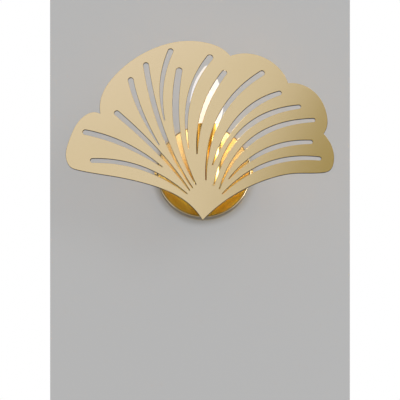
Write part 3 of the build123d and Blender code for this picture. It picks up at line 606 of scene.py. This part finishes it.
class SconceFinish(bpy.types.PropertyGroup):
    """Colours and finishes of the sconce."""

    plate_tone: bpy.props.FloatVectorProperty(
        name="Plate", description="Champagne gold of the shell", subtype="COLOR", size=3,
        default=linear("D6C29B")[:3], min=0, max=1)
    back_tone: bpy.props.FloatVectorProperty(
        name="Plate's back", description="Deeper gold of the shell's back", subtype="COLOR",
        size=3, default=linear("D0A652")[:3], min=0, max=1)
    plate_roughness: bpy.props.FloatProperty(
        name="Plate roughness", description="How satin the shell is", default=0.22, min=0.05,
        max=1)
    edge_radius: bpy.props.FloatProperty(
        name="Edge radius", description="Radius that eases the shell's edges",
        default=0.25 * MM, min=0, max=1.0 * MM, unit="LENGTH")
    gold_roughness: bpy.props.FloatProperty(
        name="Gold roughness", description="How dull the polished gold is", default=0.09,
        min=0.02, max=1)
    glow: bpy.props.FloatProperty(
        name="Glow", description="How strongly the opal glass shines", default=0.8, min=0,
        max=20)


class SconceStage(bpy.types.PropertyGroup):
    """Wall, light and camera."""

    wall_tone: bpy.props.FloatVectorProperty(
        name="Wall", description="Grey of the painted wall", subtype="COLOR", size=3,
        default=linear("B5B5B5")[:3], min=0, max=1)
    evenness: bpy.props.FloatProperty(
        name="Evenness", description="Share of the wall's grey that light doesn't change",
        default=0.75, min=0, max=1, subtype="FACTOR")
    ambient: bpy.props.FloatProperty(
        name="Soft light", description="Level of the light from all round", default=0.75,
        min=0, max=2)
    key: bpy.props.FloatProperty(
        name="Key light", description="Strength of the light from the right", default=1.0,
        min=0, max=10)
    bulb_light: bpy.props.FloatProperty(
        name="Bulb light", description="Power that the bulb throws on the gold, in watts",
        default=1.3, min=0, max=10)
    strips: bpy.props.FloatProperty(
        name="Strip lights", default=5.0, min=0, max=50,
        description="Power of the strip light on the right, in watts; the left has a quarter")
    focal_length: bpy.props.FloatProperty(
        name="Focal length", description="Lens for a 36 mm wide sensor, in millimetres",
        default=115.65, min=20, max=400)


# ---------------------------------------------------------------- pieces


class SCONCE_OT_wall_bracket(bpy.types.Operator):
    """Crossbar on the wall, with its earth point"""

    bl_idname = "sconce.wall_bracket"
    bl_label = "Wall bracket"

    def execute(self, context):
        # Zinc with a clear blue passivation: cold grey with a small-crystal mottle
        zinc = plated_metal("Bright zinc plate", "B9BEC4", "CDD1D5", roughness=0.32,
                            grain=0.7 * MM, depth=0.015 * MM)
        bracket = eased_copy("wall_bracket", "wall_bracket_eased", zinc, 0.25 * MM)
        settle(bracket, "fixture", "zinc_steel", "wall_bracket")
        wear("earth_washer", zinc)
        # Tin over copper: pale, faintly warm and rather dull
        wear("earth_ring", plated_metal("Tinned copper", "C6C3BC", "D5D1C9", roughness=0.3,
                                        grain=0.5 * MM, depth=0.01 * MM))
        return {"FINISHED"}


class SCONCE_OT_canopy(bpy.types.Operator):
    """Polished wall canopy, and the screws that hold it"""

    bl_idname = "sconce.canopy"
    bl_label = "Canopy"

    def execute(self, context):
        # The canopy's broad face is polished less finely than the sleeve's cup
        wear("canopy", pressed_canopy(context.scene.sconce_finish.gold_roughness * 2.2))
        # Turned screws under the same gold: bright, with a trace of the tool
        wear("canopy_screws", plated_metal("Gold plated screws", "EBC372", "F5D28A",
                                           roughness=0.2, grain=0.4 * MM, depth=0.01 * MM))
        return {"FINISHED"}


class SCONCE_OT_lamp_sleeve(bpy.types.Operator):
    """Candle sleeve and the cup that it stands in"""

    bl_idname = "sconce.lamp_sleeve"
    bl_label = "Lamp sleeve and cup"

    def execute(self, context):
        # The tube is a little duller than the spun cup
        roughness = context.scene.sconce_finish.gold_roughness
        wear("lamp_sleeve", polished_gold("Polished brass tube", "EECB70", "F3D27C",
                                          roughness * 1.5))
        wear("sleeve_cup", polished_gold("Polished spun brass", "EECB74", "F3D280", roughness))
        return {"FINISHED"}


class SCONCE_OT_carrier_arm(bpy.types.Operator):
    """Folded arm, and the screws, washers and nuts that join it to the canopy and the shell"""

    bl_idname = "sconce.carrier_arm"
    bl_label = "Carrier arm"

    def execute(self, context):
        # Folded strip, gold plated after folding and left satin: softer shine than the canopy
        strip = plated_metal("Satin gold strip", "E9C06C", "F1CC7E", roughness=0.27,
                             grain=0.6 * MM, depth=0.012 * MM)
        arm = eased_copy("carrier_arm", "carrier_arm_eased", strip, 0.3 * MM)
        settle(arm, "fixture", "arm_gold", "carrier_arm")
        # The canopy's gold and the bracket's zinc serve here too
        wear("arm_screws", bpy.data.materials["Gold plated screws"])
        zinc = bpy.data.materials["Bright zinc plate"]
        for node in ("arm_nuts", "shell_nuts", "stem_nuts"):
            nuts = eased_copy(node, node + "_eased", zinc, 0.25 * MM)
            settle(nuts, "fixture", "zinc_steel", node)
        for node in ("arm_washers", "shell_washers", "stem_washer"):
            wear(node, zinc)
        low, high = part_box("shell_studs")
        radius, height = (high[2] - low[2]) / 2, (low[2] + high[2]) / 2
        ends = [((x, low[1], height), (x, high[1], height))
                for x in (low[0] + radius, high[0] - radius)]
        studs = threaded_rods("shell_studs_threaded", ends, axis=1, radius=radius,
                              pitch=0.7 * MM, depth=0.35 * MM, bore=0.0, material=zinc)
        settle(studs, "fixture", "zinc_steel", "shell_studs")
        low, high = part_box("stem_tube")
        x, y = (low[0] + high[0]) / 2, (low[1] + high[1]) / 2
        stem = threaded_rods("stem_tube_threaded", [((x, y, low[2]), (x, y, high[2]))], axis=2,
                             radius=(high[0] - low[0]) / 2, pitch=1.0 * MM, depth=0.5 * MM,
                             bore=3.5 * MM, material=zinc)
        settle(stem, "fixture", "zinc_steel", "stem_tube")
        return {"FINISHED"}


class SCONCE_OT_shell_plate(bpy.types.Operator):
    """Shell plate: satin faces, laser-cut edges, eased where they meet"""

    bl_idname = "sconce.shell_plate"
    bl_label = "Shell plate"

    def execute(self, context):
        finish = context.scene.sconce_finish
        front = satin_lacquer("Satin champagne plate", finish.plate_tone, finish.plate_roughness)
        plate = eased_copy("shell_plate", "shell_plate_eased", front, finish.edge_radius, 3)
        plate.data.materials.append(laser_cut_edge())
        plate.data.materials.append(
            satin_lacquer("Satin gold back", finish.back_tone, finish.plate_roughness))
        # What faces the room is front, what faces the wall is back, and the rest is cut edge
        normals = np.empty(len(plate.data.polygons) * 3)
        plate.data.polygons.foreach_get("normal", normals)
        to_wall = normals.reshape(-1, 3)[:, 1]
        plate.data.polygons.foreach_set("material_index", np.digitize(to_wall, (-0.5, 0.5)))
        plate.modifiers["Eased edges"].material = 1
        settle(plate, "fixture", "shell_gold", "shell_plate")
        return {"FINISHED"}


class SCONCE_OT_wiring(bpy.types.Operator):
    """Terminal block, leads, sleeving and the grommet where they leave the canopy"""

    bl_idname = "sconce.wiring"
    bl_label = "Wiring"

    def execute(self, context):
        # Undyed nylon: milky, letting a little light through, with a matt moulded skin
        wear("terminal_block", moulded("Natural polyamide", "E4E1D6", "EDEAE0", roughness=0.42,
                                       grain=0.5 * MM, depth=0.01 * MM, Subsurface_Weight=0.15,
                                       Subsurface_Radius=(1.0 * MM, 1.0 * MM, 0.8 * MM)))
        # Bare brass, turned or stamped: warm yellow with fine tool marks
        brass = plated_metal("Turned brass", "D9B566", "E6C77C", roughness=0.22,
                             grain=0.4 * MM, depth=0.01 * MM)
        for node in ("terminal_inserts", "earth_screw", "holder_terminals", "contact_shell",
                     "centre_contact"):
            wear(node, brass)
        # Nickel over steel: bright, slightly yellow grey
        steel = plated_metal("Nickel plated steel screws", "C9C6BF", "D8D5CE", roughness=0.24,
                             grain=0.3 * MM, depth=0.01 * MM)
        for node in ("terminal_screws", "terminal_fixing", "holder_screws"):
            wear(node, steel)
        # Fine bare strands: salmon pink, with a deeper grain than solid metal
        wear("lead_ends", plated_metal("Stranded copper", "D98E68", "E9A47E", roughness=0.28,
                                       grain=0.2 * MM, depth=0.02 * MM))
        # Extruded PVC: plain colour with a smooth, slightly waxy shine
        wear("live_lead", moulded("Brown PVC insulation", "5B3524", "653D2A", roughness=0.38,
                                  grain=0.4 * MM, depth=0.008 * MM))
        wear("neutral_lead", moulded("Blue PVC insulation", "2C5AA8", "3565B5", roughness=0.38,
                                     grain=0.4 * MM, depth=0.008 * MM))
        low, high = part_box("earth_lead")
        lead_radius = 1.1 * MM
        wear("earth_lead", striped_insulation((low[0] + high[0]) / 2, lead_radius))
        wear("lead_sleeving", braided_sleeving())
        # Moulded rubber: matt black with a dusty skin
        wear("cable_grommet", moulded("Black rubber", "1B1B1C", "262627", roughness=0.6,
                                      grain=0.5 * MM, depth=0.02 * MM))
        return {"FINISHED"}


class SCONCE_OT_lampholder(bpy.types.Operator):
    """Lampholder inside the sleeve"""

    bl_idname = "sconce.lampholder"
    bl_label = "Lampholder"

    def execute(self, context):
        # Pressed urea thermoset: warm white, with a low polish from the tool
        thermoset = moulded("Pressed white thermoset", "E2DED2", "ECE8DD", roughness=0.3,
                            grain=0.6 * MM, depth=0.012 * MM, IOR=1.6)
        for node in ("holder_base", "holder_body"):
            wear(node, thermoset)
        return {"FINISHED"}


class SCONCE_OT_bulb(bpy.types.Operator):
    """Candle bulb: lit opal glass, screw cap and what the glass holds"""

    bl_idname = "sconce.bulb"
    bl_label = "Bulb"

    def execute(self, context):
        low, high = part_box("bulb_glass")
        centre = ((low[0] + high[0]) / 2, (low[1] + high[1]) / 2)
        # Radius and height above the neck, outside; the inside follows it a glass wall within
        outline = np.array([(8, 0), (12.2, 8.4), (16.2, 19.4), (17.5, 32.4), (15.2, 46.4),
                            (11.6, 56.6), (7.4, 64.2), (3, 70.8), (0, 73)]) * MM
        glass_wall = 0.8 * MM
        widest, tip = outline[:, 0].max(), outline[-1, 1]
        outer = smooth_profile(outline, 8)
        outer[:, 0] = np.clip(outer[:, 0], 0, widest)
        slope = np.gradient(outer, axis=0)
        inward = np.stack([-slope[:, 1], slope[:, 0]], axis=1)
        inward /= np.linalg.norm(slope, axis=1)[:, None]
        inner = outer + inward * glass_wall
        inner[:, 0] = np.clip(inner[:, 0], 0, None)
        inner[:, 1] = np.clip(inner[:, 1], 0, tip - glass_wall)
        loop = np.vstack([outer, inner[::-1], outer[:1]])
        loop[:, 1] += low[2]
        opal = lit_opal_glass(context.scene.sconce_finish.glow, low[2], high[2])
        glass = turned_piece("bulb_glass_blown", loop, centre, 96, opal)
        settle(glass, "bulb", "opal_glass", "bulb_glass")
        wear("bulb_mount", clear_lamp_glass())
        # Rolled cap of nickelled brass: bright with soft rolling marks
        wear("bulb_cap", plated_metal("Nickelled brass cap", "CFCBC3", "DEDAD2", roughness=0.2,
                                      grain=0.5 * MM, depth=0.01 * MM))
        # Poured black glass between cap and contact: glossy, with a slight swirl
        wear("cap_insulator", moulded("Black cap glass", "141416", "202024", roughness=0.12,
                                      grain=0.8 * MM, depth=0.01 * MM, IOR=1.55))
        # A drop of solder: grey and lumpy
        wear("cap_contact", plated_metal("Soft solder", "B3B3B4", "C4C4C6", roughness=0.3,
                                         grain=0.7 * MM, depth=0.03 * MM))
        # Drawn wire: an even, faintly warm grey
        wear("filament_wires", plated_metal("Nickel wire", "C3BFB6", "D1CDC4", roughness=0.25,
                                            grain=0.3 * MM, depth=0.008 * MM))
        # Silicone filled with phosphor, lit: soft yellow that glows warm
        wear("bulb_filaments", moulded("Phosphor silicone", "E7BE3C", "EFCB55", roughness=0.5,
                                       grain=0.3 * MM, depth=0.02 * MM,
                                       Emission_Color=linear("FFE2A8"), Emission_Strength=1.0))
        return {"FINISHED"}


class SCONCE_OT_stage(bpy.types.Operator):
    """Grey wall panel on white, soft light all round, a key light from the right, the camera"""

    bl_idname = "sconce.stage"
    bl_label = "Wall, light and camera"

    def execute(self, context):
        scene = context.scene
        stage = scene.sconce_stage
        wall = wall_panel(stage.wall_tone, stage.evenness)
        studio_world(scene, stage.ambient)
        hang_lamp("Key", "SUN", stage.key, (0, 0, 0), turn=(68, 0, 38), angle=np.radians(25))
        # Strip lights level with the wall draw the bright lines down round metal
        for name, side, share in (("Right strip", 1, 1.0), ("Left strip", -1, 0.25)):
            hang_lamp(name, "AREA", stage.strips * share, (side, 0.05, 0.25),
                      turn=(0, side * 90, 0), shape="RECTANGLE", size=0.6, size_y=0.5)
        # A small lamp low on the right whitens the canopy's rim and the shell's lower right end
        hang_lamp("Low lamp", "AREA", stage.strips * 0.5, (1.0, -0.1, -0.3), turn=(0, 105, 0),
                  size=0.3)
        # What the lit bulb throws on the canopy and the shell's back, from just below and right
        # of the glass's middle: the glass lets it through, and the wall is spared
        low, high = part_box("bulb_glass")
        middle = (np.array(low) + np.array(high)) / 2
        warm = hang_lamp("Bulb light", "POINT", stage.bulb_light,
                         middle + np.array([3, 0, -8]) * MM, color=linear("FFEFD8")[:3],
                         shadow_soft_size=14 * MM)
        bpy.data.objects["bulb_glass_blown"].visible_shadow = False
        spared = bpy.data.collections.new("Not lit by the bulb")
        spared.objects.link(wall)
        spared.collection_objects[0].light_linking.link_state = "EXCLUDE"
        warm.light_linking.receiver_collection = spared
        # Tan cloth in front on the right darkens that end of the shell, a dark one below draws
        # the dark line under rims and edges, and one on the left darkens the lamp sleeve
        cloth_card("tan_card", "A89A34", [(0.02, -1.2, 0.0), (1.0, -1.2, 0.0),
                                          (1.0, -1.2, 0.75), (0.4, -1.2, 0.75)])
        cloth_card("floor_card", "463F35", [(-0.5, -0.3, -0.5), (0.5, -0.3, -0.5),
                                            (0.5, 0.1, -0.5), (-0.5, 0.1, -0.5)])
        cloth_card("left_card", "5A4A32", [(-0.5, -0.3, -0.15), (-0.5, 0.03, -0.15),
                                           (-0.5, 0.03, 0.3), (-0.5, -0.3, 0.3)])
        photo_camera(scene, stage.focal_length)
        scene.view_settings.view_transform = "Standard"
        return {"FINISHED"}


PIECES = (
    SCONCE_OT_wall_bracket,
    SCONCE_OT_canopy,
    SCONCE_OT_lamp_sleeve,
    SCONCE_OT_carrier_arm,
    SCONCE_OT_shell_plate,
    SCONCE_OT_wiring,
    SCONCE_OT_lampholder,
    SCONCE_OT_bulb,
    SCONCE_OT_stage,
)


class SCONCE_PT_panel(bpy.types.Panel):
    """The sconce's pieces and its settings"""

    bl_idname = "SCONCE_PT_panel"
    bl_label = "Shell wall sconce"
    bl_space_type = "VIEW_3D"
    bl_region_type = "UI"
    bl_category = "Sconce"

    def draw(self, context):
        for settings in (context.scene.sconce_finish, context.scene.sconce_stage):
            column = self.layout.column()
            for name in settings.bl_rna.properties.keys():
                if name not in ("rna_type", "name"):
                    column.prop(settings, name)
        for piece in PIECES:
            self.layout.operator(piece.bl_idname)


CLASSES = (SconceFinish, SconceStage, *PIECES, SCONCE_PT_panel)


def register():
    for each in CLASSES:
        bpy.utils.register_class(each)
    bpy.types.Scene.sconce_finish = bpy.props.PointerProperty(type=SconceFinish)
    bpy.types.Scene.sconce_stage = bpy.props.PointerProperty(type=SconceStage)


def unregister():
    del bpy.types.Scene.sconce_stage
    del bpy.types.Scene.sconce_finish
    for each in reversed(CLASSES):
        bpy.utils.unregister_class(each)


def main():
    register()
    for piece in PIECES:
        group, call = piece.bl_idname.split(".")
        getattr(getattr(bpy.ops, group), call)()
    bpy.context.view_layer.update()


if __name__ == "__main__":
    main()
